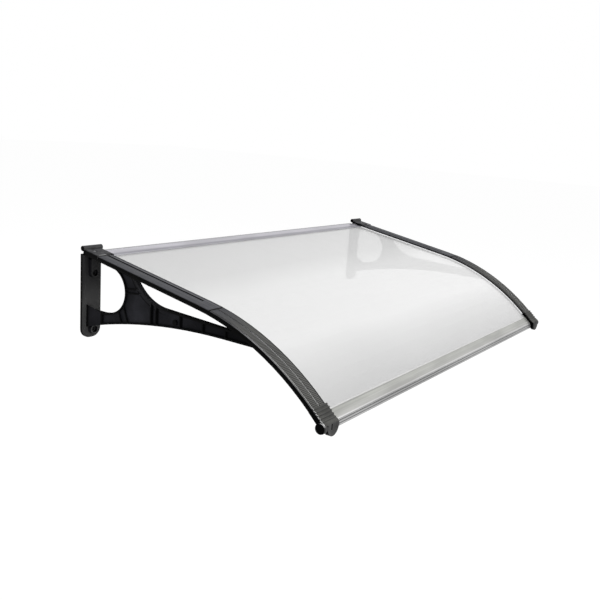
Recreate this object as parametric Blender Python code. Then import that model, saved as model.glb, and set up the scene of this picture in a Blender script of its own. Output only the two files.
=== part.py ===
# Door canopy: a clear bent sheet carried by two moulded wall brackets.
# Lengths are millimetres and become metres in to_world(). X runs across, the wall is the
# plane y = 0, the canopy reaches out along -Y, and Z is up. The origin is the middle of the
# wall seal's flat back. A profile point is (d, h): distance out from the wall, and height.
import math

import bmesh
import bpy
from mathutils import Vector

MM = 0.001
WELD = 2e-6                 # metres; corners closer than this are one corner

# Clearance between pieces that touch on the real product
GAP = 0.3

# Whole canopy
WIDTH = 1000.0              # over the outer edges of the two cover strips
ARM_WIDTH = 38.0            # one bracket arm and its cover strip
ROOF_PITCH = 9.7            # degrees, slope of the straight part
BEND_START = 294.0          # distance from the wall where the bend begins
BEND_RADIUS = 486.0         # of the cover strips' top
ARM_END = 536.8             # where arms and strips stop and the front caps begin
BEND_STEPS = 12             # facets round the bend

# Levels below the roof line, which is the cover strips' top, measured square to it
STRIP_PLATE = 2.5           # thickness of a cover strip's top
STRIP_LIP = 4.9             # bottom of its side lips
RAIL_LEVEL = 5.0            # bottom of its screw rail
SHEET_TOP = 6.2
SHEET_THICK = 2.4
ARM_TIP = 9.0               # underside of the arm at its outer edge
ARM_ROOT = 11.4             # and at its web
SPINE_LEVEL = 14.7          # bottom of the rib under the arm's front half
SHEET_SEAT = SHEET_TOP + SHEET_THICK + GAP
ARM_CORE = SHEET_SEAT + 0.45    # a level well inside the arm, where ribs and web end

# Places across an arm, measured inwards from its outer edge
LIP_THICK = 2.5
RAIL = (8.0, 16.0)          # screw rail of the cover strips
SHEET_EDGE = 19.0           # side edge of the sheet
WEB_MID = 19.0
WEB_THICK = 3.5
SPINE_THICK = 3.0
ROOT_FLAT = 1.0             # flat of the arm's underside beside the web

# Wall plate
PLATE_WIDTH = 44.0
PLATE_THICK = 7.5
PLATE_TOP = -9.0            # heights here count from the roof line at the wall
PLATE_BOTTOM = -172.5
PLATE_ROUND = 18.0
PLATE_BEVEL = 2.0
BOSS_RADIUS = 9.5
BOSS_OUT = 16.0
UPPER_HOLE = -45.0
LOWER_HOLE = -155.0
BOLT_RADIUS = 4.25
BOLT_HEAD_RADIUS = 6.25
BOLT_HEAD_DEPTH = 6.0

# Bracket web: the round opening, the lens-shaped opening and the strut's lower edge
D_CENTRE = (59.7, -68.8)
D_RADIUS = 43.2
D_TURNS = (65.0, -68.0)     # degrees, where the round edge begins and ends
D_TOE = ((60.0, -114.7), (45.0, -116.9))
D_FLOOR = -117.2            # strut top at the wall plate
LENS_CENTRE = (207.0, 15.4)
LENS_RADIUS = 94.0
LENS_FLOOR_SLOPE = 2.5      # degrees, strut top under the lens-shaped opening
STRUT_APEX = (340.0, -103.3)
STRUT_RADIUS = 1210.0
RIM_THICK = 3.2
RIM_HALF = 5.0              # half width of the rims along the web's edges
RIB_THICK = 2.2
RIB_HEIGHT = 3.1
UPRIGHT_RIBS = (170.0, 183.0, 241.5, 294.5, 345.5)
SLANTED_RIBS = (91.5, 104.0)    # distance from the wall at mid height
SLANT = 22.0                    # degrees from upright
SLANT_SHIFT = 6.0               # their tops lie this much nearer the wall
COLUMN_RIBS = (1.5, 8.5)        # above the round opening's centre
COLUMN_RISE = 5.0
PIP_PLACE = (230.0, -98.0)
PIP_RADIUS = 5.0
PIP_OUT = 5.4
GUSSET_HALF = 14.0          # half width of the wedge at the wall plate
GUSSET_TOP = -105.4         # its outer edge; its top falls to the strut's at the web
GUSSET_OUT = 42.0

# Cover strips
WALL_CAP_END = 45.0
STRIP_JOINT = 321.0
GROOVE = (22.0, 25.0)
GROOVE_DEPTH = 1.0
GROOVE_END = 286.0
BEAD_HEIGHT = 0.6
BEADS = (1.4, 19.0)
CAP_RISE = 1.8              # wall caps and front caps stand above the strips by this
NOTCH = (20.0, 34.0)
NOTCH_LENGTH = 4.0
NOTCH_DEPTH = 1.4
KNUCKLE_RADIUS = 5.0        # round bead of the wall cap, across the wall plate's width
KNUCKLE_OUT = 5.3

# Front caps
CAP_OVERHANG = 1.0          # front cap wider than the strip on each side
CAP_VALLEY = -1.2           # level of its top between the ribs
CAP_UNDER = (8.6, 10.6)     # level of its underside at the outer and the inner edge
BARREL_OUT = 32.1           # along the bend, from the arm's end to the barrel's middle
BARREL_LEVEL = 6.3
BARREL_RADIUS = 9.3
BARREL_SET_IN = 0.2
DISC_OUT = 1.5
CAP_RIBS = 5
CAP_RIB_FIRST = 2.1
CAP_RIB_PITCH = 5.95
CAP_RIB_WIDTH = 3.2
CAP_RIB_HEIGHT = 1.2
NOSE_MID = 21.5             # across the arm
NOSE_RADIUS = 15.5
NOSE_OUT = 9.6              # front face of the round nose, in front of the barrel's middle
NOSE_THICK = 8.0
NOSE_RISE = 5.5
DISH_RIM = 1.6
DISH_FLOOR_RADIUS = 9.5
DISH_DEPTH = 2.2
TONGUE = (5.0, 15.0)        # across the arm
TONGUE_LEVELS = (5.6, 8.8)
TONGUE_LENGTH = 8.0
NOSE_SLOT = (19.1, 21.9)
NOSE_SLOT_LENGTH = 10.5
NOSE_SLOT_DROP = 1.2        # its middle lies this much below the barrel's
NOSE_SLOT_DEPTH = 4.0

# Aluminium bars and seals
BAR_WALL = 1.6
REAR_BAR_BACK = 8.0
REAR_BAR_FRONT = 36.5
REAR_BAR_DROP = 20.0
FRONT_BAR_START = 544.5
FRONT_DECK = 20.7           # length of the front bar's sloping face
FRONT_GRIP = 16.0           # how far the sheet's front edge goes in
FRONT_LIP_DROP = 11.5
SEAL_LEVELS = (5.5, 19.5)
SEAL_CHAMFER = 3.0
SEAL_SIDE = (33.0, 41.4)    # clear sealing strip, across the arm

# Screws
SCREW_ACROSS = 12.0
REAR_SCREWS = (62.0, 170.0, 285.0)
FRONT_SCREWS = (347.0, 455.0, 525.0)
SCREW_RADIUS = 1.75
SCREW_HEAD_RADIUS = 3.6
SCREW_HEAD = 2.2
SCREW_TIP = 1.6             # level where the shank ends
PAD_RADIUS = 4.6
PAD_LEVEL = 11.7
CAP_SCREW_OUT = 21.0
CAP_SCREW_TIP = 8.6

# Worked out from the sizes above
HALF = WIDTH / 2
PITCH = math.radians(ROOF_PITCH)
ROOF_H = (SEAL_LEVELS[0] + SEAL_LEVELS[1]) / 2 / math.cos(PITCH)
BEND_CENTRE = (
    BEND_START - BEND_RADIUS * math.sin(PITCH),
    ROOF_H - BEND_START * math.tan(PITCH) - BEND_RADIUS * math.cos(PITCH),
)
CAP_START = ARM_END + GAP
INNER_EDGE = HALF - ARM_WIDTH
SHEET_BOTTOM = SHEET_TOP + SHEET_THICK


# Roof line
def angle_at(d):
    """Slope of the roof line at distance d."""
    if d <= BEND_START:
        return PITCH
    return math.asin((d - BEND_CENTRE[0]) / BEND_RADIUS)


def at(d, level):
    """The point lying level below the roof line, square to it, at its distance d."""
    slope = angle_at(d)
    if d <= BEND_START:
        h = ROOF_H - d * math.tan(PITCH)
    else:
        h = BEND_CENTRE[1] + BEND_RADIUS * math.cos(slope)
    return (d - level * math.sin(slope), h - level * math.cos(slope))


def height(d, level):
    """Height, straight above distance d, of the curve lying level below the roof line."""
    if d <= BEND_START - level * math.sin(PITCH):
        return ROOF_H - d * math.tan(PITCH) - level / math.cos(PITCH)
    return BEND_CENTRE[1] + math.sqrt((BEND_RADIUS - level) ** 2 - (d - BEND_CENTRE[0]) ** 2)


def further(d, length):
    """The distance reached by going length along the bend from distance d."""
    return BEND_CENTRE[0] + BEND_RADIUS * math.sin(angle_at(d) + length / BEND_RADIUS)


def stations(start, end):
    """Distances along the roof line from start to end, on the bend's common facets."""
    full = angle_at(ARM_END) - PITCH
    inner = [BEND_START]
    for step in range(1, BEND_STEPS + 3):
        turn = PITCH + full * step / BEND_STEPS
        inner.append(BEND_CENTRE[0] + BEND_RADIUS * math.sin(turn))
    return [start] + [d for d in inner if start + 2 < d < end - 2] + [end]


def meeting(test, low, high):
    """Where test changes sign between low and high."""
    sign = test(low) > 0
    for _ in range(60):
        middle = (low + high) / 2
        if (test(middle) > 0) == sign:
            low = middle
        else:
            high = middle
    return (low + high) / 2


# Building solids
def to_world(x, d, h):
    return Vector((x * MM, -d * MM, h * MM))


def finish(bm, name):
    bmesh.ops.remove_doubles(bm, verts=bm.verts, dist=WELD)
    bmesh.ops.recalc_face_normals(bm, faces=bm.faces)
    mesh = bpy.data.meshes.new(name)
    bm.to_mesh(mesh)
    bm.free()
    solid = bpy.data.objects.new(name, mesh)
    bpy.context.scene.collection.objects.link(solid)
    return solid


def skin(rings, name):
    """A closed solid through equal rings of points, with its two ends filled."""
    bm = bmesh.new()
    loops = [[bm.verts.new(p) for p in ring] for ring in rings]
    for near, far in zip(loops, loops[1:]):
        for i in range(len(near)):
            j = (i + 1) % len(near)
            bm.faces.new((near[i], near[j], far[j], far[i]))
    bm.faces.new(loops[0])
    bm.faces.new(list(reversed(loops[-1])))
    return finish(bm, name)


def prism(outline, x0, x1, name="piece"):
    """An outline of (d, h) points, extruded across from x0 to x1."""
    return skin([[to_world(x, d, h) for d, h in outline] for x in (x0, x1)], name)


def sweep(section, start, end, name="piece", upright=False):
    """A section of (across, level) points, run along the roof line on the left side."""
    rings = []
    for index, d in enumerate(stations(start, end)):
        if upright and index == 0:
            ring = [to_world(u - HALF, d, height(d, v)) for u, v in section]
        else:
            ring = [to_world(u - HALF, *at(d, v)) for u, v in section]
        rings.append(ring)
    return skin(rings, name)


def lathe(profile, origin, axis, sides, name="piece"):
    """A profile of (along, radius) points turned about an axis through origin."""
    axis = Vector(axis).normalized()
    side = axis.orthogonal().normalized()
    other = axis.cross(side)
    rings = []
    for along, radius in profile:
        ring = []
        for k in range(sides):
            turn = 2 * math.pi * k / sides
            spoke = side * math.cos(turn) + other * math.sin(turn)
            ring.append(origin + (axis * along + spoke * radius) * MM)
        rings.append(ring)
    return skin(rings, name)


def combine(base, tool, operation):
    """Joins tool to base, or cuts it away, and removes tool."""
    step = base.modifiers.new("step", "BOOLEAN")
    step.operation = operation
    step.solver = "EXACT"
    step.object = tool
    shaped = base.evaluated_get(bpy.context.evaluated_depsgraph_get())
    mesh = bpy.data.meshes.new_from_object(shaped)
    base.modifiers.clear()
    bm = bmesh.new()
    bm.from_mesh(mesh)
    bmesh.ops.remove_doubles(bm, verts=bm.verts, dist=WELD)
    bmesh.ops.dissolve_degenerate(bm, dist=WELD / 10, edges=bm.edges)
    bm.to_mesh(mesh)
    bm.free()
    old = base.data
    base.data = mesh
    bpy.data.meshes.remove(old)
    bpy.data.objects.remove(tool)


def join(base, *tools):
    for tool in tools:
        combine(base, tool, "UNION")


def cut(base, *tools):
    for tool in tools:
        combine(base, tool, "DIFFERENCE")


def arc(centre, radius, start, end, steps):
    """Points on a circle from start to end, in degrees from the outward direction."""
    points = []
    for k in range(steps + 1):
        turn = math.radians(start + (end - start) * k / steps)
        points.append((centre[0] + radius * math.cos(turn), centre[1] + radius * math.sin(turn)))
    return points


def circle(centre, radius, sides):
    """All the corners of a many-sided circle, each once."""
    return arc(centre, radius, 0, 360 - 360 / sides, sides - 1)


def across(u):
    """World x of a place u inwards from the left arm's outer edge."""
    return u - HALF


# Materials
def material(name, colour, roughness, metallic=0.0, alpha=1.0):
    made = bpy.data.materials.new(name)
    made.use_nodes = True
    shader = made.node_tree.nodes["Principled BSDF"]
    shader.inputs["Base Color"].default_value = (*colour, 1.0)
    shader.inputs["Roughness"].default_value = roughness
    shader.inputs["Metallic"].default_value = metallic
    shader.inputs["Alpha"].default_value = alpha
    return made


def dress(solid, made):
    solid.data.materials.clear()
    solid.data.materials.append(made)


# Outlines of the bracket's web, each moved into the plastic by inset
def strut_bottom(d, inset=0.0):
    radius = STRUT_RADIUS + inset
    reach = min(d, STRUT_APEX[0]) - STRUT_APEX[0]
    return STRUT_APEX[1] + ROOF_H - STRUT_RADIUS + math.sqrt(radius ** 2 - reach ** 2)


def lens_floor(d, inset=0.0):
    slope = math.radians(LENS_FLOOR_SLOPE)
    radius = LENS_RADIUS + inset
    touch_d = LENS_CENTRE[0] - radius * math.sin(slope)
    touch_h = LENS_CENTRE[1] + ROOF_H - radius * math.cos(slope)
    return touch_h - (d - touch_d) * math.tan(slope)


def bottom_line(start, inset=0.0):
    """The strut's lower edge, from the wall plate out to the arm."""

    def clear(d):
        return height(d, ARM_CORE) - strut_bottom(d, inset)

    end = meeting(clear, STRUT_APEX[0], ARM_END)
    steps = 12
    line = []
    for k in range(steps + 1):
        d = start + (STRUT_APEX[0] - start) * k / steps
        line.append((d, strut_bottom(d, inset)))
    return line + [(end, strut_bottom(end, inset))]


def clearance_round(centre, radius):
    """How far below the arm a circle's point lies, as a function of its angle."""

    def clear(turn):
        point = arc(centre, radius, turn, turn, 1)[0]
        return height(point[0], ARM_CORE) - point[1]

    return clear


def lens_line(inset=0.0):
    """Edge of the lens-shaped opening, from its front tip back and up to the arm."""

    def clear_floor(d):
        return height(d, ARM_CORE) - lens_floor(d, inset)

    tip = meeting(clear_floor, LENS_CENTRE[0] + 1.2 * LENS_RADIUS, ARM_END)
    centre = (LENS_CENTRE[0], LENS_CENTRE[1] + ROOF_H)
    radius = LENS_RADIUS + inset
    top = meeting(clearance_round(centre, radius), 225.0, 150.0)
    curve = arc(centre, radius, 270 - LENS_FLOOR_SLOPE, top, 12)
    return [(tip, lens_floor(tip, inset))] + curve


def d_line(start, inset=0.0):
    """Edge of the round opening, from the arm round and down to the wall plate."""
    centre = (D_CENTRE[0], D_CENTRE[1] + ROOF_H)
    curve = arc(centre, D_RADIUS + inset, *D_TURNS, 20)
    turn = math.radians(D_TURNS[0])

    def onwards(length):
        return (curve[0][0] - length * math.sin(turn), curve[0][1] + length * math.cos(turn))

    def clear(length):
        d, h = onwards(length)
        return height(d, ARM_CORE) - h

    top = onwards(meeting(clear, 0.0, curve[0][0] - start))
    toe = [(d, h + ROOF_H - inset) for d, h in D_TOE]
    return [top] + curve + toe + [(start, D_FLOOR + ROOF_H - inset)]


# Bracket
def plate_ring(d, inset):
    """One rounded outline of the wall plate."""
    mid = across(WEB_MID)
    half = PLATE_WIDTH / 2 - inset
    top = PLATE_TOP + ROOF_H - inset
    bottom = PLATE_BOTTOM + ROOF_H + inset
    radius = PLATE_ROUND - inset
    ring = [(mid - half, top), (mid + half, top)]
    for side, start in ((1, 0.0), (-1, -90.0)):
        for k in range(7):
            turn = math.radians(start - 15 * k)
            x = mid + side * (half - radius) + radius * math.cos(turn)
            ring.append((x, bottom + radius + radius * math.sin(turn)))
    return [to_world(x, d, h) for x, h in ring]


def wall_plate():
    rings = [
        plate_ring(0.0, 0.0),
        plate_ring(PLATE_THICK - PLATE_BEVEL, 0.0),
        plate_ring(PLATE_THICK, PLATE_BEVEL),
    ]
    return skin(rings, "bracket")


def round_bar(x, h, start, end, radius, sides=24):
    """A cylinder standing out from the wall between distances start and end."""
    base = to_world(x, start, h)
    return lathe([(0, radius), (end - start, radius)], base, (0, -1, 0), sides)


def upper_boss():
    """The upper bolt boss, carried straight up into the arm."""
    mid = across(WEB_MID)
    foot = arc((mid, UPPER_HOLE + ROOF_H), BOSS_RADIUS, 180, 360, 12)
    rings = []
    for d in (PLATE_THICK * 0.6, BOSS_OUT):
        top = height(d, ARM_CORE)
        ring = [(mid + BOSS_RADIUS, top), (mid - BOSS_RADIUS, top)] + foot
        rings.append([to_world(x, d, h) for x, h in ring])
    return skin(rings, "boss")


def arm_section():
    return [
        (0.0, STRIP_LIP + GAP),
        (LIP_THICK + GAP, STRIP_LIP + GAP),
        (LIP_THICK + GAP, STRIP_PLATE + GAP),
        (RAIL[0] - GAP, STRIP_PLATE + GAP),
        (RAIL[0] - GAP, RAIL_LEVEL + GAP),
        (SHEET_EDGE - GAP, RAIL_LEVEL + GAP),
        (SHEET_EDGE - GAP, SHEET_SEAT),
        (ARM_WIDTH, SHEET_SEAT),
        (ARM_WIDTH, ARM_ROOT - 0.8),
        (WEB_MID + WEB_THICK / 2 + ROOT_FLAT, ARM_ROOT),
        (WEB_MID - WEB_THICK / 2 - ROOT_FLAT, ARM_ROOT),
        (0.0, ARM_TIP),
    ]


def web_outline(start):
    inset = RIM_THICK / 2
    foot = bottom_line(start, inset)
    opening = lens_line(inset)
    between = (foot[-1][0] + opening[0][0]) / 2
    return foot + [(between, height(between, ARM_CORE))] + opening + d_line(start, inset)


def rib_between(low, high, inner, outer):
    """A thin rib whose centre line runs from low to high."""
    along = Vector((high[0] - low[0], high[1] - low[1])).normalized()
    side = Vector((-along.y, along.x)) * RIB_THICK / 2
    ends = [Vector(low), Vector(high)]
    outline = [ends[0] + side, ends[1] + side, ends[1] - side, ends[0] - side]
    return prism([(p.x, p.y) for p in outline], inner, outer)


def web_ribs():
    """Stiffening ribs on the outer face of the web."""
    inner = across(WEB_MID)
    outer = across(WEB_MID - WEB_THICK / 2 - RIB_HEIGHT)
    ribs = []
    for d in UPRIGHT_RIBS:
        low = (d, strut_bottom(d) + RIM_THICK / 2)
        high_level = lens_floor(d)
        if d < LENS_CENTRE[0]:
            drop = math.sqrt(LENS_RADIUS ** 2 - (d - LENS_CENTRE[0]) ** 2)
            high_level = LENS_CENTRE[1] + ROOF_H - drop
        ribs.append(rib_between(low, (d, high_level - RIM_THICK / 2), inner, outer))
    for d in SLANTED_RIBS:
        lean = math.tan(math.radians(SLANT))
        low_h = strut_bottom(d) + RIM_THICK / 2
        high_d = d - SLANT_SHIFT
        reach = high_d - D_CENTRE[0]
        drop = math.sqrt((D_RADIUS + RIM_THICK / 2) ** 2 - reach ** 2)
        high_h = D_CENTRE[1] + ROOF_H - drop
        low_d = high_d + (high_h - low_h) * lean
        ribs.append(rib_between((low_d, low_h), (high_d, high_h), inner, outer))
    return ribs


def column_ribs():
    """Two short ribs across the column between the openings."""
    inner = across(WEB_MID)
    outer = across(WEB_MID - WEB_THICK / 2 - RIB_HEIGHT)
    ribs = []
    for drop in COLUMN_RIBS:
        h = D_CENTRE[1] + ROOF_H + drop
        near = (D_CENTRE[0] + math.sqrt(D_RADIUS ** 2 - drop ** 2) + RIM_THICK / 2, h)
        high = h + COLUMN_RISE
        rise = high - LENS_CENTRE[1] - ROOF_H
        far = (LENS_CENTRE[0] - math.sqrt(LENS_RADIUS ** 2 - rise ** 2) - RIM_THICK / 2, high)
        ribs.append(rib_between(near, far, inner, outer))
    return ribs


def screw_place(d, level):
    return to_world(across(SCREW_ACROSS), *at(d, level))


def roof_normal(d):
    slope = angle_at(d)
    return Vector((0, -math.sin(slope), math.cos(slope)))


def spine():
    """Shallow rib under the arm's front half, in line with the web."""
    sides = (WEB_MID - SPINE_THICK / 2, WEB_MID + SPINE_THICK / 2)
    top = (ARM_CORE + ARM_ROOT) / 2
    section = [
        (sides[0], top), (sides[1], top), (sides[1], SPINE_LEVEL), (sides[0], SPINE_LEVEL)]
    return sweep(section, lens_line()[0][0] + 8, ARM_END - GAP)


def gusset():
    """Wedge on the web's outer side that spreads the strut's foot over the wall plate."""
    mid = across(WEB_MID)
    floor = D_FLOOR - 0.5 + ROOF_H
    rings = []
    for d, half, top in (
        (PLATE_THICK - 1.0, GUSSET_HALF, GUSSET_TOP + ROOF_H),
        (GUSSET_OUT, RIM_HALF - 0.2, floor - 0.1),
    ):
        low = strut_bottom(d, 0.3)
        ring = [(mid - half, low), (mid, low), (mid, floor), (mid - half, top)]
        rings.append([to_world(x, d, h) for x, h in ring])
    return skin(rings, "gusset")


def bracket():
    """One-piece moulding: wall plate, bosses, web, rims, ribs and arm."""
    mid = across(WEB_MID)
    start = PLATE_THICK / 2
    body = wall_plate()
    arm = sweep(arm_section(), start, ARM_END, upright=True)
    web = prism(web_outline(start), mid - WEB_THICK / 2, mid + WEB_THICK / 2)
    join(body, arm, web)

    foot = bottom_line(start) + bottom_line(start, RIM_THICK)[::-1]
    round_rim = d_line(start) + d_line(start, RIM_THICK)[::-1]
    lens_rim = lens_line() + lens_line(RIM_THICK)[::-1]
    join(
        body,
        prism(foot, mid - RIM_HALF, mid + RIM_HALF),
        prism(round_rim, mid - RIM_HALF + 0.1, mid + RIM_HALF - 0.1),
        prism(lens_rim, mid - RIM_HALF + 0.2, mid + RIM_HALF - 0.2),
    )
    join(body, gusset(), *web_ribs(), *column_ribs(), spine())

    pip = to_world(mid, PIP_PLACE[0], PIP_PLACE[1] + ROOF_H)
    join(body, lathe([(0, PIP_RADIUS), (PIP_OUT, PIP_RADIUS)], pip, (-1, 0, 0), 16))

    tongue = [
        (TONGUE[0], TONGUE_LEVELS[0]), (TONGUE[1], TONGUE_LEVELS[0]),
        (TONGUE[1], TONGUE_LEVELS[1]), (TONGUE[0], TONGUE_LEVELS[1]),
    ]
    join(body, sweep(tongue, ARM_END - 6, further(ARM_END, TONGUE_LENGTH)))

    lower = round_bar(mid, LOWER_HOLE + ROOF_H, PLATE_THICK / 2, BOSS_OUT, BOSS_RADIUS)
    join(body, upper_boss(), lower)
    for hole in (UPPER_HOLE, LOWER_HOLE):
        h = hole + ROOF_H
        cut(
            body,
            round_bar(mid, h, -2.0, BOSS_OUT + 2, BOLT_RADIUS),
            round_bar(mid, h, BOSS_OUT - BOLT_HEAD_DEPTH, BOSS_OUT + 2, BOLT_HEAD_RADIUS),
        )

    for d in REAR_SCREWS + FRONT_SCREWS:
        seat = screw_place(d, PAD_LEVEL)
        up = roof_normal(d)
        pad = lathe([(0, PAD_RADIUS), (PAD_LEVEL - ARM_CORE, PAD_RADIUS)], seat, up, 16)
        hole = lathe(
            [(-2, SCREW_RADIUS + GAP), (PAD_LEVEL, SCREW_RADIUS + GAP)], seat, up, 12)
        join(body, pad)
        cut(body, hole)

    seat = screw_place(CAP_SCREW_OUT, CAP_SCREW_TIP + GAP)
    hole = lathe([(0, SCREW_RADIUS + GAP), (20, SCREW_RADIUS + GAP)], seat, roof_normal(0), 12)
    cut(body, hole)
    return body


# Cover strips and caps
def strip_section(beads=()):
    """Inverted channel with a screw rail, and raised beads at the given places."""
    top = [(0.0, 0.8), (0.8, 0.0)]
    for u in beads:
        top += [(u - 0.6, 0.0), (u - 0.3, -BEAD_HEIGHT), (u + 0.3, -BEAD_HEIGHT), (u + 0.6, 0.0)]
    top = sorted(set(top))
    return [(0.0, STRIP_LIP)] + top + [
        (ARM_WIDTH - 2.4, 0.0),
        (ARM_WIDTH - 1.2, 0.5),
        (ARM_WIDTH, 1.4),
        (ARM_WIDTH, STRIP_LIP),
        (ARM_WIDTH - LIP_THICK, STRIP_LIP),
        (ARM_WIDTH - LIP_THICK, STRIP_PLATE),
        (RAIL[1], STRIP_PLATE),
        (RAIL[1], RAIL_LEVEL),
        (RAIL[0], RAIL_LEVEL),
        (RAIL[0], STRIP_PLATE),
        (LIP_THICK, STRIP_PLATE),
        (LIP_THICK, STRIP_LIP),
    ]


def drill(strip, places):
    """Blind screw holes in a cover strip's rail."""
    for d in places:
        depth = RAIL_LEVEL - SCREW_TIP + GAP
        profile = [(-1, SCREW_RADIUS + GAP), (depth, SCREW_RADIUS + GAP)]
        cut(strip, lathe(profile, screw_place(d, RAIL_LEVEL), roof_normal(d), 12))


def rear_strip():
    strip = sweep(strip_section(), WALL_CAP_END + GAP, STRIP_JOINT - GAP)
    groove = [(GROOVE[0], -1.0), (GROOVE[1], -1.0),
              (GROOVE[1] - 0.4, GROOVE_DEPTH), (GROOVE[0] + 0.4, GROOVE_DEPTH)]
    cut(strip, sweep(groove, WALL_CAP_END - 2, GROOVE_END))
    drill(strip, REAR_SCREWS)
    return strip


def front_strip():
    strip = sweep(strip_section(BEADS), STRIP_JOINT, ARM_END)
    drill(strip, FRONT_SCREWS)
    return strip


def wall_cap():
    """Raised cover over the strip's rear end, with a round bead along the wall."""
    section = [
        (-CAP_OVERHANG, STRIP_LIP),
        (-CAP_OVERHANG, 1.0 - CAP_RISE),
        (1.0 - CAP_OVERHANG, -CAP_RISE),
        (ARM_WIDTH - 1.2, -CAP_RISE),
        (ARM_WIDTH, 1.2 - CAP_RISE),
        (ARM_WIDTH, STRIP_LIP),
        (ARM_WIDTH - LIP_THICK, STRIP_LIP),
        (ARM_WIDTH - LIP_THICK, STRIP_PLATE),
        (LIP_THICK, STRIP_PLATE),
        (LIP_THICK, STRIP_LIP),
    ]
    cap = sweep(section, KNUCKLE_OUT, WALL_CAP_END, upright=True)
    mid = across(WEB_MID)
    axis_h = height(KNUCKLE_OUT, -2.6)
    knuckle = circle((KNUCKLE_OUT, axis_h), KNUCKLE_RADIUS, 24)
    join(cap, prism(knuckle, mid - PLATE_WIDTH / 2, mid + PLATE_WIDTH / 2))
    notch = [(NOTCH[0], -5.0), (NOTCH[1], -5.0),
             (NOTCH[1], NOTCH_DEPTH - CAP_RISE), (NOTCH[0], NOTCH_DEPTH - CAP_RISE)]
    cut(cap, sweep(notch, WALL_CAP_END - NOTCH_LENGTH, WALL_CAP_END + 5))
    seat = screw_place(CAP_SCREW_OUT, STRIP_LIP)
    up = roof_normal(0)
    head_floor = STRIP_LIP + CAP_RISE - SCREW_HEAD - GAP
    cut(
        cap,
        lathe([(-2, SCREW_RADIUS + GAP), (20, SCREW_RADIUS + GAP)], seat, up, 12),
        lathe([(head_floor, SCREW_HEAD_RADIUS + GAP), (20, SCREW_HEAD_RADIUS + GAP)],
              seat, up, 20),
    )
    return cap


def cap_rib(out):
    """One rounded rib across the front cap, its middle lying out past the arm's end."""
    half = CAP_RIB_WIDTH / 2
    shape = [(-half, 0.6), (-0.86 * half, -0.4), (-0.45 * half, -0.88), (0.0, -1.0),
             (0.45 * half, -0.88), (0.86 * half, -0.4), (half, 0.6)]
    outline = []
    for shift, rise in shape:
        outline.append(at(further(ARM_END, out + shift), CAP_VALLEY + rise * CAP_RIB_HEIGHT))
    edge = CAP_OVERHANG - 0.3
    return prism(outline, across(-edge), across(ARM_WIDTH + edge))


def nose_ring(centre, d, radius, rise):
    """Outline of the round nose at distance d: half a circle below, straight sides above."""
    mid = across(NOSE_MID)
    ring = arc((mid, centre[1]), radius, 180, 360, 18)
    ring = [(mid - radius, centre[1] + rise)] + ring + [(mid + radius, centre[1] + rise)]
    return [to_world(x, d, h) for x, h in ring]


def front_cap():
    """Ribbed cap that closes the arm, with a barrel across its tip and a round, dished nose."""
    left = -CAP_OVERHANG
    right = ARM_WIDTH + CAP_OVERHANG
    section = [
        (left, CAP_UNDER[0]), (left, CAP_VALLEY + 0.6), (left + 0.6, CAP_VALLEY),
        (right - 0.6, CAP_VALLEY), (right, CAP_VALLEY + 0.6), (right, CAP_UNDER[1]),
        (WEB_MID + WEB_THICK / 2 + ROOT_FLAT, ARM_ROOT),
        (WEB_MID - WEB_THICK / 2 - ROOT_FLAT, ARM_ROOT),
    ]
    barrel_d = further(ARM_END, BARREL_OUT)
    centre = at(barrel_d, BARREL_LEVEL)
    cap = sweep(section, CAP_START, barrel_d)
    barrel = circle(centre, BARREL_RADIUS, 32)
    join(cap, prism(barrel, across(left + BARREL_SET_IN), across(right - BARREL_SET_IN)))
    for k in range(CAP_RIBS):
        join(cap, cap_rib(CAP_RIB_FIRST + k * CAP_RIB_PITCH))
    disc = circle(centre, BARREL_RADIUS - 0.4, 24)
    join(cap, prism(disc, across(left - DISC_OUT), across(left + 3)))

    face = centre[0] + NOSE_OUT
    back = face - NOSE_THICK
    join(cap, skin([nose_ring(centre, d, NOSE_RADIUS, NOSE_RISE) for d in (back, face)], "nose"))
    floor = face - DISH_DEPTH
    edge = NOSE_RADIUS - DISH_RIM
    slope = (edge - DISH_FLOOR_RADIUS) / DISH_DEPTH
    dish = [nose_ring(centre, floor, DISH_FLOOR_RADIUS, NOSE_RADIUS),
            nose_ring(centre, face + 1.0, edge + slope, NOSE_RADIUS)]
    cut(cap, skin(dish, "dish"))
    slot_mid = centre[1] - NOSE_SLOT_DROP
    half = NOSE_SLOT_LENGTH / 2
    slot = [(floor - NOSE_SLOT_DEPTH, slot_mid - half), (face + 2, slot_mid - half),
            (face + 2, slot_mid + half), (floor - NOSE_SLOT_DEPTH, slot_mid + half)]
    cut(cap, prism(slot, across(NOSE_SLOT[0]), across(NOSE_SLOT[1])))

    pocket = [
        (TONGUE[0] - GAP, TONGUE_LEVELS[0] - GAP), (TONGUE[1] + GAP, TONGUE_LEVELS[0] - GAP),
        (TONGUE[1] + GAP, TONGUE_LEVELS[1] + GAP), (TONGUE[0] - GAP, TONGUE_LEVELS[1] + GAP),
    ]
    cut(cap, sweep(pocket, ARM_END - 4, further(ARM_END, TONGUE_LENGTH + GAP)))
    past = ARM_WIDTH + CAP_OVERHANG + 5
    slit = [
        (SHEET_EDGE - GAP, SHEET_TOP - GAP), (past, SHEET_TOP - GAP),
        (past, SHEET_SEAT), (SHEET_EDGE - GAP, SHEET_SEAT),
    ]
    cut(cap, sweep(slit, ARM_END - 4, further(sheet_front(), GAP + 0.2)))
    return cap


# Sheet, bars and seals
def sheet_front():
    return further(FRONT_BAR_START, FRONT_GRIP - GAP)


def clear_sheet():
    far = WIDTH - SHEET_EDGE
    section = [(SHEET_EDGE, SHEET_TOP), (far, SHEET_TOP), (far, SHEET_BOTTOM), (SHEET_EDGE, SHEET_BOTTOM)]
    back = REAR_BAR_BACK + BAR_WALL + 2 * GAP + SHEET_BOTTOM * math.sin(PITCH)
    return sweep(section, back, sheet_front(), "clear_sheet")


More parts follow.
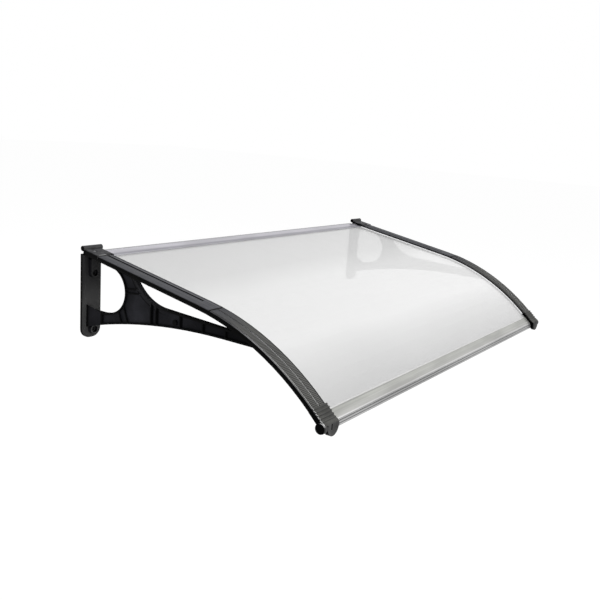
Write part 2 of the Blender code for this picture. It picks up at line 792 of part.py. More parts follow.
def rear_bar():
    """Extrusion that grips the sheet's rear edge, with a flange down the wall."""
    inner = REAR_BAR_BACK + BAR_WALL
    shelf = REAR_BAR_FRONT - 7
    deck = SHEET_TOP - GAP
    points = [
        (REAR_BAR_BACK, deck - BAR_WALL), (REAR_BAR_FRONT - 0.6, deck - BAR_WALL),
        (REAR_BAR_FRONT, deck - BAR_WALL + 0.6), (REAR_BAR_FRONT, deck),
        (inner, deck), (inner, SHEET_SEAT), (shelf, SHEET_SEAT),
        (shelf, SHEET_SEAT + BAR_WALL), (inner, SHEET_SEAT + BAR_WALL),
        (inner, REAR_BAR_DROP), (REAR_BAR_BACK, REAR_BAR_DROP),
    ]
    outline = [(d, height(d, v)) for d, v in points]
    return prism(outline, GAP - INNER_EDGE, INNER_EDGE - GAP, "rear_bar")


def front_bar():
    """Extrusion that grips the sheet's front edge, with a grooved lip at the front."""
    start = FRONT_BAR_START
    deck = SHEET_TOP - GAP
    grip = further(start, FRONT_GRIP)
    top = [at(start, deck), at(start, deck - BAR_WALL), at(grip, deck - BAR_WALL)]
    end = at(further(start, FRONT_DECK), deck - BAR_WALL)
    lip = [
        (0.0, 0.0), (0.9, -0.9), (0.4, -1.9), (1.5, -2.6), (1.9, -5.6), (1.1, -6.3), (1.9, -7.0),
        (2.0, -FRONT_LIP_DROP + 1.2), (1.0, -FRONT_LIP_DROP), (-0.8, -FRONT_LIP_DROP),
        (-0.8, -4.5),
    ]
    nose = [(end[0] + d, end[1] + h) for d, h in lip]
    shelf = [at(grip, SHEET_SEAT + BAR_WALL), at(further(start, 3), SHEET_SEAT + BAR_WALL)]
    shelf += [at(further(start, 3), SHEET_SEAT), at(grip, SHEET_SEAT), at(grip, deck)]
    side = INNER_EDGE - CAP_OVERHANG - GAP
    return prism(top + nose + shelf, -side, side, "front_bar")


def wall_seal():
    """Soft strip between the wall and the rear bar."""
    front = REAR_BAR_BACK - GAP
    points = [
        (0.0, SEAL_LEVELS[0]), (front, SEAL_LEVELS[0]), (front, SEAL_LEVELS[1] - SEAL_CHAMFER),
        (front - SEAL_CHAMFER, SEAL_LEVELS[1]), (0.0, SEAL_LEVELS[1]),
    ]
    side = HALF - WEB_MID - PLATE_WIDTH / 2 - GAP
    return prism([(d, height(d, v)) for d, v in points], -side, side, "wall_seal")


def side_seal():
    """Clear strip under a cover strip's inner lip, with a bead that shows beside it."""
    low = SHEET_TOP - GAP
    top = STRIP_LIP + GAP
    section = [
        (SEAL_SIDE[0], top), (ARM_WIDTH + 0.4, top), (ARM_WIDTH + 0.9, top - 1.0),
        (SEAL_SIDE[1] - 0.8, top - 1.0), (SEAL_SIDE[1], low), (SEAL_SIDE[0], low),
    ]
    start = REAR_BAR_FRONT + GAP + low * math.sin(PITCH)
    return sweep(section, start, ARM_END - 1)


def screw(base, axis, length, name):
    """Pan-head screw: base is the underside of its head, axis points to its tip."""
    profile = [
        (-SCREW_HEAD, SCREW_HEAD_RADIUS * 0.6), (-SCREW_HEAD * 0.6, SCREW_HEAD_RADIUS),
        (0, SCREW_HEAD_RADIUS), (0, SCREW_RADIUS),
        (length - 1.5, SCREW_RADIUS), (length, SCREW_RADIUS * 0.3),
    ]
    return lathe(profile, base, axis, 12, name)


def mirrored(solid, name):
    """The right-hand copy of a left-hand piece."""
    mesh = solid.data.copy()
    mesh.name = name
    bm = bmesh.new()
    bm.from_mesh(mesh)
    for vert in bm.verts:
        vert.co.x = -vert.co.x
    bmesh.ops.reverse_faces(bm, faces=bm.faces)
    bm.to_mesh(mesh)
    bm.free()
    copy = bpy.data.objects.new(name, mesh)
    bpy.context.scene.collection.objects.link(copy)
    return copy


def centre_origin(solid):
    """Puts a piece's origin at the middle of its box without moving it."""
    corners = [Vector(c) for c in solid.bound_box]
    middle = (corners[0] + corners[6]) / 2
    for vert in solid.data.vertices:
        vert.co -= middle
    solid.location = middle


def soften_shading(solid):
    for face in solid.data.polygons:
        face.use_smooth = True
    solid.data.set_sharp_from_angle(angle=math.radians(25))


def pair(solid, name, made):
    """Names a left-hand piece, adds its right-hand twin and gives both a material."""
    solid.name = "left_" + name
    solid.data.name = solid.name
    twin = mirrored(solid, "right_" + name)
    for piece in (solid, twin):
        dress(piece, made)


def main():
    for old in list(bpy.data.objects):
        bpy.data.objects.remove(old)

    bracket_black = material("bracket_black", (0.012, 0.012, 0.013), 0.45)
    strip_grey = material("strip_grey", (0.055, 0.055, 0.058), 0.5)
    cap_grey = material("cap_grey", (0.045, 0.045, 0.045), 0.5)
    clear_plastic = material("clear_plastic", (0.86, 0.88, 0.89), 0.08, alpha=0.3)
    aluminium = material("aluminium", (0.72, 0.72, 0.72), 0.32, metallic=1.0)
    seal_clear = material("seal_clear", (0.85, 0.85, 0.86), 0.4)
    seal_grey = material("seal_grey", (0.35, 0.35, 0.36), 0.7)
    screw_steel = material("screw_steel", (0.5, 0.5, 0.52), 0.35, metallic=1.0)

    pair(bracket(), "bracket", bracket_black)
    pair(rear_strip(), "rear_cover_strip", strip_grey)
    pair(front_strip(), "front_cover_strip", strip_grey)
    pair(wall_cap(), "wall_cap", cap_grey)
    pair(front_cap(), "front_cap", cap_grey)
    pair(side_seal(), "side_seal", seal_clear)

    dress(clear_sheet(), clear_plastic)
    dress(rear_bar(), aluminium)
    dress(front_bar(), aluminium)
    dress(wall_seal(), seal_grey)

    for group, places in (("rear", REAR_SCREWS), ("front", FRONT_SCREWS)):
        for number, d in enumerate(places, 1):
            base = screw_place(d, PAD_LEVEL + GAP)
            length = PAD_LEVEL + GAP - SCREW_TIP
            made = screw(base, roof_normal(d), length, "screw")
            pair(made, f"{group}_strip_screw_{number}", screw_steel)

    head_level = SCREW_HEAD - CAP_RISE
    base = screw_place(CAP_SCREW_OUT, head_level)
    made = screw(base, -roof_normal(0), CAP_SCREW_TIP - head_level, "screw")
    pair(made, "wall_cap_screw", screw_steel)

    for solid in bpy.data.objects:
        centre_origin(solid)
        soften_shading(solid)


main()
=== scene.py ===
"""Looks of the door canopy: materials, light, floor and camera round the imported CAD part."""

import math

import bpy
from mathutils import Matrix, Vector

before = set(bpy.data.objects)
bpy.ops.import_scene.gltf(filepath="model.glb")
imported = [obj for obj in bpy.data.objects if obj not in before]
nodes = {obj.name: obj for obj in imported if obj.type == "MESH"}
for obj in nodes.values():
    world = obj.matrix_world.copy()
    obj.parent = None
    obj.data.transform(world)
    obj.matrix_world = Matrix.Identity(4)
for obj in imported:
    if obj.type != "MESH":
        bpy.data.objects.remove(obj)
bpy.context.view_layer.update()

# Places on the part, from the CAD, in metres. The wall is the plane y = 0, the canopy reaches out
# along -Y, and the roof line is the cover strips' top: a slope, then a bend.
HALF_WIDTH = 0.5
ROOF_PITCH = math.radians(9.7)
ROOF_HEIGHT = 0.01268                   # of the roof line at the wall
BEND_START = 0.294
BEND_RADIUS = 0.486
BEND_CENTRE = (
    -(BEND_START - BEND_RADIUS * math.sin(ROOF_PITCH)),
    ROOF_HEIGHT - BEND_START * math.tan(ROOF_PITCH) - BEND_RADIUS * math.cos(ROOF_PITCH),
)

# The bracket. A pair is where one tone gives way to the next, and a line is its middle and half
# width.
OUTER_SIDE = (0.0055, 0.0075)           # inwards: what stands out further than the web
UNDER_ARM = (0.0165, 0.0185)            # below the roof line
PLATE_FRONT = (0.020, 0.030)            # out from the wall
PLATE_HEIGHTS = (-0.17, 0.0)
WEB_RIM_FACE = (0.0139, 0.0006)         # line, inwards
UPRIGHT_RIBS = (0.170, 0.183, 0.2415, 0.2945, 0.3455)
RIB_SHADE_AHEAD = 0.003
LENS_CENTRE = (-0.207, 0.0281)
LENS_RADIUS = 0.094
LENS_REAR_HALF = (-0.22, -0.17)
# Round the opening's rear half: a painted highlight band, then a painted shade line
LENS_BAND = (0.0048, 0.0046)            # lines round the lens-shaped opening, from its wall
LENS_SHADE = (0.0108, 0.0010)

# The cover strips and the caps. Lines lie inwards from the outer side, unless said.
STRIP_BORDER = (0.0350, 0.0013)
GROOVE = (0.0236, 0.0028)
GROOVE_END = (-0.2875, -0.2860)
PALE_LINES = (((0.0281, 0.0009), (0.13, 0.13, 0.135)), ((0.0150, 0.0007), (0.10, 0.10, 0.105)))
BEADS = ((0.0014, 0.0013), (0.0190, 0.0009))
BEAD_SHADE = (0.0018, 0.0009)           # its middle counts from the bead's
KNURL_PITCH = 0.0030
STRIP_JOINT = (-0.3209, 0.0019)         # line along y
WALL_CAP_END = (-0.0445, 0.0009)        # line along y
WALL_CAP_END_SPAN = (0.0115, 0.0085)    # how far that line runs, as middle and half length
WALL_CAP_REACH = (-0.10, -0.08)
FRONT_CAP_REACH = (-0.52, -0.50)

# The sheet, the front bar and the floor
SHEET_REACH = 0.56
SHEET_SIDE = 0.46
# Painted highlight lines on the sheet
SHEET_LINES = ((0.0668, 0.86), (0.9640, 0.76))      # beside the bars: share of reach, and tone
FRONT_BAR_FACE = (0.5566, 0.5570)
FLOOR_HEIGHT = -0.62

# Tones that are used more than once
# Near black: the bracket's arm and outer side, and painted shade on the cover strips' sides
SIDE_BLACK = (0.0011, 0.0011, 0.0012)
LENS_WALL = (0.050, 0.050, 0.055)
WHITE = (1.0, 1.0, 1.0, 1.0)

# Noise seldom leaves these values
NOISE_LOW, NOISE_HIGH = 0.3, 0.7


# Shader helpers
def grey(tone):
    return (tone, tone, tone)


def new_material(name):
    made = bpy.data.materials.new(name)
    made.use_nodes = True
    tree = made.node_tree
    tree.nodes.clear()
    output = tree.nodes.new("ShaderNodeOutputMaterial")
    shader = tree.nodes.new("ShaderNodeBsdfPrincipled")
    tree.links.new(shader.outputs["BSDF"], output.inputs["Surface"])
    return made, tree, shader


def maths(tree, operation, first, second=None):
    node = tree.nodes.new("ShaderNodeMath")
    node.operation = operation
    for socket, value in zip(node.inputs, (first, second)):
        if value is None:
            continue
        if isinstance(value, (int, float)):
            socket.default_value = value
        else:
            tree.links.new(value, socket)
    return node.outputs[0]


def product(tree, first, second):
    return maths(tree, "MULTIPLY", first, second)


def place(tree, scale=(1.0, 1.0, 1.0)):
    """The point on the object, in metres, stretched by scale."""
    coordinates = tree.nodes.new("ShaderNodeTexCoord")
    mapping = tree.nodes.new("ShaderNodeMapping")
    mapping.inputs["Scale"].default_value = scale
    tree.links.new(coordinates.outputs["Object"], mapping.inputs["Vector"])
    return mapping.outputs["Vector"]


def noise(tree, scale, detail=2.0, stretch=(1.0, 1.0, 1.0)):
    node = tree.nodes.new("ShaderNodeTexNoise")
    node.inputs["Scale"].default_value = scale
    node.inputs["Detail"].default_value = detail
    tree.links.new(place(tree, stretch), node.inputs["Vector"])
    return node.outputs["Fac"]


def ramp(tree, value, stops):
    """Colours along a value: stops are (place, (red, green, blue))."""
    node = tree.nodes.new("ShaderNodeValToRGB")
    bar = node.color_ramp
    while len(bar.elements) > 1:
        bar.elements.remove(bar.elements[0])
    bar.elements[0].position = stops[0][0]
    bar.elements[0].color = (*stops[0][1], 1.0)
    for spot, colour in stops[1:]:
        bar.elements.new(spot).color = (*colour, 1.0)
    tree.links.new(value, node.inputs["Fac"])
    return node.outputs["Color"]


def spread(tree, value, low, high, to_low=0.0, to_high=1.0, smooth=True):
    """A value's range from low to high, laid over another range and held at its ends."""
    node = tree.nodes.new("ShaderNodeMapRange")
    node.interpolation_type = "SMOOTHSTEP" if smooth else "LINEAR"
    node.inputs["From Min"].default_value = low
    node.inputs["From Max"].default_value = high
    node.inputs["To Min"].default_value = to_low
    node.inputs["To Max"].default_value = to_high
    tree.links.new(value, node.inputs["Value"])
    return node.outputs["Result"]


def drift(tree, grain, low, high):
    """Noise that wanders between two values."""
    return spread(tree, grain, NOISE_LOW, NOISE_HIGH, low, high)


def banded(tree, value, bands):
    """Colours at given places along a value, straight from one to the next."""
    low, high = bands[0][0], bands[-1][0]
    stops = [((spot - low) / (high - low), colour) for spot, colour in bands]
    return ramp(tree, spread(tree, value, low, high, smooth=False), stops)


def mix(tree, share, first, second):
    node = tree.nodes.new("ShaderNodeMix")
    node.data_type = "RGBA"
    tree.links.new(share, node.inputs[0])
    for socket, value in ((node.inputs[6], first), (node.inputs[7], second)):
        if isinstance(value, tuple):
            socket.default_value = (*value, 1.0)
        else:
            tree.links.new(value, socket)
    return node.outputs[2]


def toned(tree, colour, tone):
    """A colour made darker or lighter by a value."""
    node = tree.nodes.new("ShaderNodeMix")
    node.data_type = "RGBA"
    node.blend_type = "MULTIPLY"
    node.inputs[0].default_value = 1.0
    tree.links.new(colour, node.inputs[6])
    tree.links.new(tone, node.inputs[7])
    return node.outputs[2]


def bump(tree, shader, height, distance, before=None):
    node = tree.nodes.new("ShaderNodeBump")
    node.inputs["Strength"].default_value = 1.0
    node.inputs["Distance"].default_value = distance
    tree.links.new(height, node.inputs["Height"])
    if before is not None:
        tree.links.new(before, node.inputs["Normal"])
    tree.links.new(node.outputs["Normal"], shader.inputs["Normal"])
    return node.outputs["Normal"]


def facing(tree, axis):
    """How far the surface's own normal points along an axis of the object, from -1 to 1."""
    geometry = tree.nodes.new("ShaderNodeNewGeometry")
    parts = tree.nodes.new("ShaderNodeSeparateXYZ")
    tree.links.new(geometry.outputs["Normal"], parts.inputs[0])
    return parts.outputs[axis]


def across(tree, axis):
    """One coordinate of the point on the object, in metres."""
    parts = tree.nodes.new("ShaderNodeSeparateXYZ")
    tree.links.new(place(tree), parts.inputs[0])
    return parts.outputs[axis]


def outwards(tree):
    """Distance out from the wall, in metres."""
    return product(tree, across(tree, 1), -1.0)


def inwards(tree):
    """Distance from the canopy's outer side, the same on both arms, in metres."""
    return maths(tree, "SUBTRACT", HALF_WIDTH, maths(tree, "ABSOLUTE", across(tree, 0)))


def from_centre(tree, centre):
    """Distance from a line across the canopy, given by its y and z, in metres."""
    dy = maths(tree, "SUBTRACT", across(tree, 1), centre[0])
    dz = maths(tree, "SUBTRACT", across(tree, 2), centre[1])
    return maths(tree, "SQRT", maths(tree, "ADD", product(tree, dy, dy), product(tree, dz, dz)))


def bend_travel(tree):
    """Distance along the cover strips' bend, in metres."""
    y = maths(tree, "SUBTRACT", BEND_CENTRE[0], across(tree, 1))
    z = maths(tree, "SUBTRACT", across(tree, 2), BEND_CENTRE[1])
    return product(tree, maths(tree, "ARCTAN2", y, z), BEND_RADIUS)


def below_roof(tree):
    """Distance square to the roof line, under it, in metres."""
    y = across(tree, 1)
    z = across(tree, 2)
    level = ROOF_HEIGHT * math.cos(ROOF_PITCH)
    rise = maths(tree, "SUBTRACT", level, product(tree, z, math.cos(ROOF_PITCH)))
    flat = maths(tree, "ADD", rise, product(tree, y, math.sin(ROOF_PITCH)))
    bent = maths(tree, "SUBTRACT", BEND_RADIUS, from_centre(tree, BEND_CENTRE))
    beyond = maths(tree, "GREATER_THAN", outwards(tree), BEND_START)
    step = product(tree, beyond, maths(tree, "SUBTRACT", bent, flat))
    return maths(tree, "ADD", flat, step)


def line(tree, value, middle, half, soft=0.0003):
    """One near a value and nothing away from it."""
    off = maths(tree, "ABSOLUTE", maths(tree, "SUBTRACT", value, middle))
    return spread(tree, off, half - soft, half + soft, 1.0, 0.0)


def mottled(tree, colour, scale, low=0.86, high=1.14, detail=3.0):
    """A colour that drifts a little over the surface."""
    return ramp(tree, noise(tree, scale, detail), [
        (0.32, tuple(low * c for c in colour)), (0.68, tuple(high * c for c in colour)),
    ])


def seen_straight(tree):
    """One for what the camera sees, straight on or in metal and through glass."""
    path = tree.nodes.new("ShaderNodeLightPath")
    both = maths(tree, "MAXIMUM", path.outputs["Is Camera Ray"], path.outputs["Is Glossy Ray"])
    return maths(tree, "MAXIMUM", both, path.outputs["Is Transmission Ray"])


def two_faced(tree, output, real, seen):
    """One shader lights the object, and the camera sees the other."""
    choose = tree.nodes.new("ShaderNodeMixShader")
    tree.links.new(seen_straight(tree), choose.inputs[0])
    tree.links.new(real.outputs[0], choose.inputs[1])
    tree.links.new(seen.outputs[0], choose.inputs[2])
    tree.links.new(choose.outputs[0], output.inputs["Surface"])


# Materials
def grained(tree, shader, sheen, rough=None):
    """Gloss and grain of moulded plastic."""
    if rough is None:
        rough = drift(tree, noise(tree, 60.0), 0.45, 0.57)
    tree.links.new(rough, shader.inputs["Roughness"])
    shader.inputs["Specular IOR Level"].default_value = sheen
    return bump(tree, shader, noise(tree, 1400.0), 0.00005)


def painted_light_by_facing(tree, side, front, top, under):
    """Painted light and shade: colours for surfaces that point sideways, forward, up and down."""
    forward = spread(tree, product(tree, facing(tree, 1), -1.0), 0.45, 0.8)
    mixed = mix(tree, forward, side, front)
    mixed = mix(tree, spread(tree, facing(tree, 2), 0.35, 0.8), mixed, top)
    down = spread(tree, product(tree, facing(tree, 2), -1.0), 0.3, 0.8)
    return mix(tree, down, mixed, under)


def bracket_plastic():
    """Black moulding: nearly black along the arm, greyer and mottled on web and wall plate, with
    light and shade painted by facing, height and distance from the wall.
    """
    made, tree, shader = new_material("bracket_finish")
    out = outwards(tree)
    edge = inwards(tree)

    # The web, with painted light and shade: darker further out from the wall, dark rim faces, a
    # painted lit band with a painted shade line beside the rear half of the lens-shaped opening,
    # and painted shade in front of each upright rib
    web = banded(tree, out, [
        (0.025, (0.0150, 0.0150, 0.0178)), (0.125, (0.0235, 0.0238, 0.0285)),
        (0.225, (0.0170, 0.0172, 0.0210)), (0.350, (0.0026, 0.0026, 0.0038)),
    ])
    web = mix(tree, line(tree, edge, *WEB_RIM_FACE), web, (0.0014, 0.0014, 0.0016))
    ring = maths(tree, "SUBTRACT", from_centre(tree, LENS_CENTRE), LENS_RADIUS)
    beside = spread(tree, across(tree, 1), *LENS_REAR_HALF)
    lit = product(tree, line(tree, ring, *LENS_BAND), beside)
    web = mix(tree, lit, web, (0.024, 0.024, 0.027))
    dark = product(tree, line(tree, ring, *LENS_SHADE), beside)
    web = mix(tree, dark, web, (0.0016, 0.0016, 0.0020))
    web = toned(tree, web, drift(tree, noise(tree, 26.0, 4.0), 0.64, 1.36))
    for rib in UPRIGHT_RIBS:
        shade = line(tree, out, rib + RIB_SHADE_AHEAD, 0.0022, 0.0008)
        web = mix(tree, shade, web, (0.0030, 0.0030, 0.0036))

    arm = spread(tree, below_roof(tree), *UNDER_ARM, 1.0, 0.0)
    outer = spread(tree, edge, *OUTER_SIDE, 1.0, 0.0)
    side = mix(tree, maths(tree, "MAXIMUM", arm, outer), web, SIDE_BLACK)

    # Painted light and shade on the wall plate's front, by height; what faces forward beyond the
    # plate is painted dark as shade
    front = ramp(tree, spread(tree, across(tree, 2), *PLATE_HEIGHTS), [
        (0.0, (0.062, 0.062, 0.063)), (0.45, grey(0.082)), (0.8, (0.036, 0.036, 0.037)),
    ])
    front = mix(tree, spread(tree, out, *PLATE_FRONT), front, (0.006, 0.006, 0.007))
    top = mottled(tree, (0.0015, 0.0015, 0.0017), 30.0)
    lens_wall = product(tree, line(tree, ring, 0.0, 0.0010), beside)
    front = mix(tree, lens_wall, front, LENS_WALL)
    top = mix(tree, lens_wall, top, LENS_WALL)

    # Painted light and shade by which way a face points
    colour = painted_light_by_facing(tree, side, front, top, (0.0015, 0.0015, 0.0016))
    tree.links.new(colour, shader.inputs["Base Color"])
    grained(tree, shader, 0.04, spread(tree, facing(tree, 2), 0.4, 0.9, 0.5, 0.95))
    return made


def strip_plastic(name, top, bent):
    """Cover strip: satin top with a darker border, and sides painted black as shade. The bent one
    is ribbed, with painted highlights on its beads and painted light and shade on its knurl.
    """
    made, tree, shader = new_material(name)
    edge = inwards(tree)
    face = mottled(tree, top, 22.0, 0.9, 1.1, 4.0)
    streaks = drift(tree, noise(tree, 1.0, 3.0, (900.0, 6.0, 6.0)), 0.86, 1.14)
    if bent:
        travel = bend_travel(tree)
        rearward = spread(tree, travel, 0.10, 0.20, 1.0, 0.0)
        face = mix(tree, rearward, face, (0.060, 0.061, 0.067))
        # Painted light and shade along the knurl, laid over the streaks
        knurl = maths(tree, "SINE", product(tree, travel, 2.0 * math.pi / KNURL_PITCH))
        streaks = product(tree, streaks, spread(tree, knurl, -1.0, 1.0, 0.50, 1.40))
    face = toned(tree, face, streaks)
    face = mix(tree, line(tree, edge, *STRIP_BORDER), face, (0.010, 0.010, 0.011))
    if bent:
        # Painted highlights on the beads, brighter further round the bend, with painted shade
        # beside each
        light = ramp(tree, spread(tree, travel, 0.14, 0.30), [
            (0.0, (0.12, 0.12, 0.125)), (0.35, (0.46, 0.46, 0.465)), (1.0, (0.64, 0.64, 0.63)),
        ])
        for middle, half in BEADS:
            shade = line(tree, edge, middle + BEAD_SHADE[0], BEAD_SHADE[1])
            face = mix(tree, shade, face, grey(0.030))
            face = mix(tree, line(tree, edge, middle, half), face, light)
    else:
        # Painted shade in the groove, up to its end
        rearward = spread(tree, across(tree, 1), *GROOVE_END)
        groove = product(tree, line(tree, edge, *GROOVE), rearward)
        face = mix(tree, groove, face, (0.007, 0.007, 0.008))
        for pale_line, tone in PALE_LINES:
            face = mix(tree, line(tree, edge, *pale_line), face, tone)
    face = mix(tree, line(tree, across(tree, 1), *STRIP_JOINT), face, grey(0.004))
    # Painted shade by facing: black sides, dark fronts and undersides
    colour = painted_light_by_facing(tree, SIDE_BLACK, grey(0.012), face, grey(0.0015))
    tree.links.new(colour, shader.inputs["Base Color"])
    grain = grained(tree, shader, 0.03)
    if bent:
        bump(tree, shader, knurl, 0.00012, grain)
    return made


def cap_plastic():
    """Caps: satin tops and noses, painted shade on black sides, painted highlights on the front
    caps' rib ends, and a light line at the wall cap's end.
    """
    made, tree, shader = new_material("cap_finish")
    y = across(tree, 1)
    edge = inwards(tree)
    top = mottled(tree, (0.085, 0.085, 0.080), 40.0)
    wall_cap = mottled(tree, (0.050, 0.050, 0.053), 90.0, 0.6, 1.4)
    top = mix(tree, spread(tree, y, *WALL_CAP_REACH), top, wall_cap)

    # Painted highlights on the outer ends of the front caps' ribs, and a light line at the end of
    # the wall cap beside its notch
    proud = spread(tree, below_roof(tree), 0.0, 0.0008, 1.0, 0.0)
    ends = product(tree, spread(tree, edge, 0.0006, 0.0012, 1.0, 0.0), proud)
    ahead = spread(tree, y, *FRONT_CAP_REACH, 1.0, 0.0)
    top = mix(tree, product(tree, ends, ahead), top, grey(0.62))
    cap_end = product(tree, line(tree, y, *WALL_CAP_END), line(tree, edge, *WALL_CAP_END_SPAN))
    top = mix(tree, cap_end, top, grey(0.34))

    front = mottled(tree, grey(0.078), 60.0, 0.7, 1.3)
    # Painted shade by facing: black sides and dark undersides
    colour = painted_light_by_facing(tree, (0.0004, 0.0004, 0.0006), front, top, grey(0.006))
    tree.links.new(colour, shader.inputs["Base Color"])
    grained(tree, shader, 0.03)
    return made


def sheet_finish():
    """Clear plastic sheet: a little see-through, with painted reflections, palest where it begins
    to bend, and painted highlight lines beside the bars.
    """
    made, tree, shader = new_material("clear_sheet_finish")
    reach = product(tree, across(tree, 1), -1.0 / SHEET_REACH)
    along = maths(tree, "ADD", reach, drift(tree, noise(tree, 2.2, 1.0), -0.012, 0.012))
    # Painted reflections: slow bands of light along the sheet
    reflection_bands = ramp(tree, along, [
        (0.10, grey(0.57)), (0.34, grey(0.64)), (0.50, grey(0.78)),
        (0.77, grey(0.825)), (0.95, grey(0.60)),
    ])
    # Painted light: a little lighter towards +x
    sideways = spread(tree, across(tree, 0), -SHEET_SIDE, SHEET_SIDE, 0.97, 1.03)
    reflection_bands = toned(tree, reflection_bands, sideways)
    # Painted highlight lines beside the bars
    for middle, tone in SHEET_LINES:
        reflection_bands = mix(tree, line(tree, reach, middle, 0.0020, 0.0008), reflection_bands, grey(tone))
    tree.links.new(reflection_bands, shader.inputs["Base Color"])
    tree.links.new(drift(tree, noise(tree, 30.0), 0.12, 0.18), shader.inputs["Roughness"])
    shader.inputs["Alpha"].default_value = 0.66
    shader.inputs["IOR"].default_value = 1.45
    bump(tree, shader, noise(tree, 14.0, 1.0), 0.0002)
    return made


def metal(name, bands, front_bands=None):
    """Extruded metal: bands of painted light and shade from the wall outwards, and fine lines
    along it.

    The front bar's front face has bands of painted light and shade by height instead.
    """
    made, tree, shader = new_material(name)
    plain = banded(tree, outwards(tree), bands)
    if front_bands:
        share = spread(tree, outwards(tree), *FRONT_BAR_FACE)
        plain = mix(tree, share, plain, banded(tree, across(tree, 2), front_bands))
    lines = noise(tree, 1.0, 3.0, (2.5, 520.0, 520.0))
    slow = drift(tree, noise(tree, 1.0, 2.0, (7.0, 40.0, 40.0)), 0.88, 1.12)
    tone = product(tree, drift(tree, lines, 0.90, 1.08), slow)
    tree.links.new(toned(tree, plain, tone), shader.inputs["Base Color"])
    tree.links.new(drift(tree, lines, 0.30, 0.44), shader.inputs["Roughness"])
    shader.inputs["Metallic"].default_value = 0.75
    bump(tree, shader, lines, 0.00006)
    return made


def rubber(name, colour, roughness):
    """Soft seals: fine matt grain."""
    made, tree, shader = new_material(name)
    tree.links.new(mottled(tree, colour, 40.0, 0.92, 1.04, 2.0), shader.inputs["Base Color"])
    rough = drift(tree, noise(tree, 90.0), roughness - 0.06, roughness + 0.06)
    tree.links.new(rough, shader.inputs["Roughness"])
    bump(tree, shader, noise(tree, 500.0), 0.00006)
    return made


def screw_steel():
    """Zinc-plated screws, faintly streaked."""
    made, tree, shader = new_material("screw_finish")
    tree.links.new(mottled(tree, (0.10, 0.10, 0.105), 300.0), shader.inputs["Base Color"])
    tree.links.new(drift(tree, noise(tree, 400.0), 0.35, 0.5), shader.inputs["Roughness"])
    shader.inputs["Metallic"].default_value = 0.6
    return made


# Painted light and shade on the rear lip, joint, sloping face, front lip and the step below it,
# by distance from the wall
FRONT_BAR_TOP = [
    (0.5414, (0.54, 0.54, 0.52)), (0.5419, (0.54, 0.54, 0.52)), (0.5423, (0.33, 0.33, 0.32)),
    (0.5438, (0.42, 0.425, 0.400)), (0.5538, (0.45, 0.450, 0.435)), (0.5545, (0.60, 0.60, 0.59)),
    (0.5556, grey(0.62)), (0.5562, grey(0.28)), (0.5600, grey(0.28)),
]
# Painted light and shade on the front face: pale bands and dark lines between them, by height
FRONT_BAR_DROP = [
    (-0.1920, grey(0.12)), (-0.1905, grey(0.36)), (-0.1872, grey(0.42)), (-0.1866, grey(0.16)),
    (-0.1858, grey(0.16)), (-0.1850, grey(0.40)), (-0.1828, grey(0.38)), (-0.1820, grey(0.14)),
    (-0.1812, grey(0.16)), (-0.1806, grey(0.56)), (-0.1790, grey(0.60)),
]
# Painted light and shade across the rear bar's top, by distance from the wall
REAR_BAR_TOP = [
    (0.0080, (0.37, 0.36, 0.395)), (0.0230, (0.40, 0.39, 0.425)), (0.0270, (0.24, 0.235, 0.265)),
    (0.0350, (0.21, 0.205, 0.235)), (0.0370, (0.50, 0.50, 0.52)),
]

# A node takes the first finish whose key is in its name
FINISHES = [
    ("clear_sheet", sheet_finish()),
    ("front_bar", metal("bar_finish", FRONT_BAR_TOP, FRONT_BAR_DROP)),
    ("rear_bar", metal("rear_bar_finish", REAR_BAR_TOP)),
    ("wall_seal", rubber("grey_seal_finish", (0.30, 0.30, 0.31), 0.6)),
    ("side_seal", rubber("clear_seal_finish", (0.95, 0.95, 0.96), 0.3)),
    ("screw", screw_steel()),
    ("bracket", bracket_plastic()),
    ("rear_cover_strip", strip_plastic("strip_finish", (0.066, 0.067, 0.074), False)),
    ("front_cover_strip", strip_plastic("ribbed_strip_finish", (0.092, 0.092, 0.088), True)),
    ("cap", cap_plastic()),
]
for name, node in nodes.items():
    for key, finish in FINISHES:
        if key in name:
            node.data.materials.clear()
            node.data.materials.append(finish)
            break


# Floor, light and camera
def plane(name, size, height):
    mesh = bpy.data.meshes.new(name)
    half = size / 2
    corners = [(x, y, height) for x, y in (
        (-half, -half), (half, -half), (half, half), (-half, half),
    )]
    mesh.from_pydata(corners, [], [(0, 1, 2, 3)])
    made = bpy.data.objects.new(name, mesh)
    bpy.context.scene.collection.objects.link(made)
    return made


def matt(shader, tone, glow=0.0):
    """A surface without gloss, which may glow white."""
    shader.inputs["Base Color"].default_value = (*grey(tone), 1.0)
    shader.inputs["Roughness"].default_value = 0.9
    shader.inputs["Specular IOR Level"].default_value = 0.0
    shader.inputs["Emission Color"].default_value = WHITE
    shader.inputs["Emission Strength"].default_value = glow
    return shader


def background(tree, strength):
    node = tree.nodes.new("ShaderNodeBackground")
    node.inputs["Color"].default_value = WHITE
    node.inputs["Strength"].default_value = strength
    return node


def lamp(name, location, target, size, power):
    data = bpy.data.lights.new(name, "AREA")
    data.shape = "RECTANGLE"
    data.size, data.size_y = size
    data.energy = power
    made = bpy.data.objects.new(name, data)
    bpy.context.scene.collection.objects.link(made)
    made.location = location
    made.rotation_mode = "QUATERNION"
    made.rotation_quaternion = (Vector(target) - Vector(location)).to_track_quat("-Z", "Y")
    return made


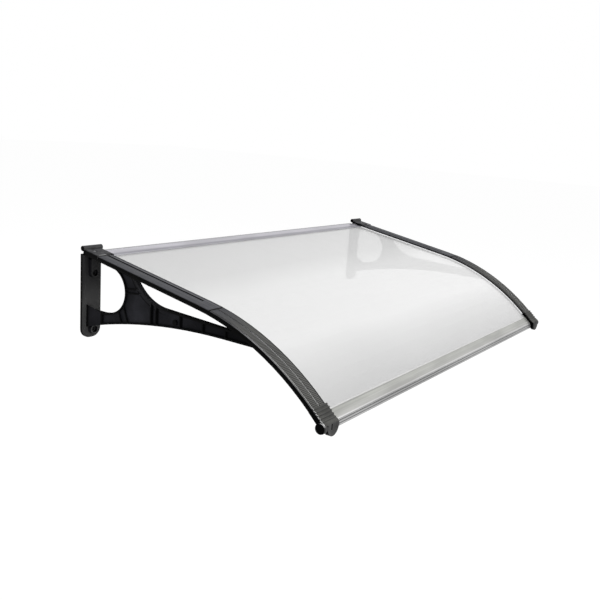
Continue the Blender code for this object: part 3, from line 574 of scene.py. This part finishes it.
floor = plane("floor", 40.0, FLOOR_HEIGHT)
floor_finish, tree, shader = new_material("floor_finish")
output = shader.outputs["BSDF"].links[0].to_node
pale = matt(tree.nodes.new("ShaderNodeBsdfPrincipled"), 0.14, glow=0.925)
two_faced(tree, output, real=matt(shader, 0.80), seen=pale)
floor.data.materials.append(floor_finish)

world = bpy.data.worlds.new("studio")
bpy.context.scene.world = world
world.use_nodes = True
tree = world.node_tree
tree.nodes.clear()
output = tree.nodes.new("ShaderNodeOutputWorld")
two_faced(tree, output, real=background(tree, 0.45), seen=background(tree, 1.0))

lamp("top_lamp", location=(0.3, -0.2, 2.6), target=(0.0, -0.25, 0.0),
     size=(3.4, 3.0), power=62.0)
lamp("front_lamp", location=(-0.6, -2.8, 1.1), target=(0.0, -0.2, -0.1),
     size=(2.2, 1.6), power=22.0)

# The camera, solved from the photograph; its angles are in radians
CAMERA_PLACE = Vector((-1.40778, -1.12159, 0.25475))
CAMERA_YAW = 0.97069
CAMERA_PITCH = 0.220116
CAMERA_ROLL = 0.072695
FOCAL_LENGTH = 45.05
SENSOR_WIDTH = 36.0

forward = Vector((
    math.sin(CAMERA_YAW) * math.cos(CAMERA_PITCH),
    math.cos(CAMERA_YAW) * math.cos(CAMERA_PITCH),
    -math.sin(CAMERA_PITCH),
))
level_right = Vector((math.cos(CAMERA_YAW), -math.sin(CAMERA_YAW), 0.0))
level_up = level_right.cross(forward)
right = level_right * math.cos(CAMERA_ROLL) + level_up * math.sin(CAMERA_ROLL)
up = level_up * math.cos(CAMERA_ROLL) - level_right * math.sin(CAMERA_ROLL)

camera_data = bpy.data.cameras.new("camera")
camera_data.lens = FOCAL_LENGTH
camera_data.sensor_width = SENSOR_WIDTH
camera_data.clip_start = 0.05
camera = bpy.data.objects.new("camera", camera_data)
bpy.context.scene.collection.objects.link(camera)
turn = Matrix((right, up, -forward)).transposed()
camera.matrix_world = Matrix.Translation(CAMERA_PLACE) @ turn.to_4x4()
bpy.context.scene.camera = camera
bpy.context.scene.view_settings.view_transform = "Standard"
